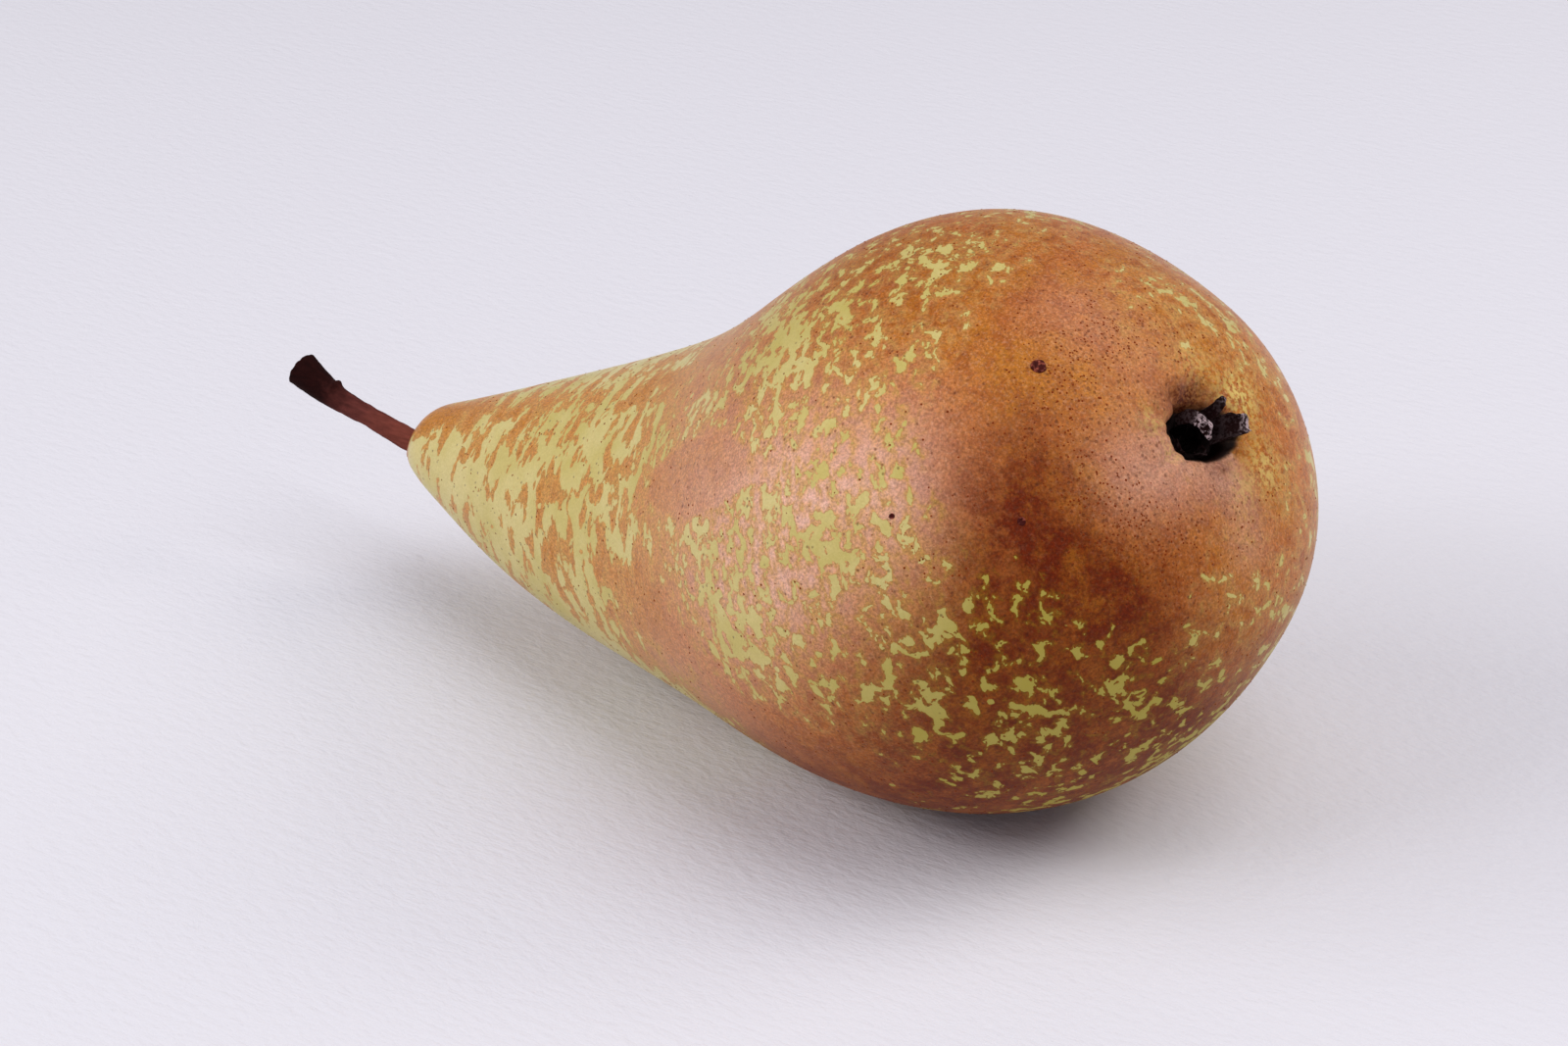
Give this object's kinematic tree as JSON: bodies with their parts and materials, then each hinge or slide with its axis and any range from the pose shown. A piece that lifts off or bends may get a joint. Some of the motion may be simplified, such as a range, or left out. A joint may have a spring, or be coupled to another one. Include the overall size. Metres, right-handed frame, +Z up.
{
  "type": "pear",
  "caption": "Russet-skinned pear lying on its side: long tapering neck, round belly, short woody stem and dried calyx in a shallow basin.",
  "frame": {"origin": "bottom centre of the bounding box, on the surface that the pear lies on", "axes": "+X from the stem towards the calyx, +Z up, +Y to the left when looking along +X"},
  "size_m": [0.1328, 0.0676, 0.0625],
  "materials": {
    "skin": "satin russet skin, orange-brown with yellow-green patches",
    "stem": "dry reddish-brown bark, darker at the cut end",
    "calyx": "dry blackish-brown sepals with a greyish bloom"
  },
  "bodies": {
    "root": {"fruit": "skin", "stem": "stem", "calyx": "calyx"}
  },
  "joints": []
}
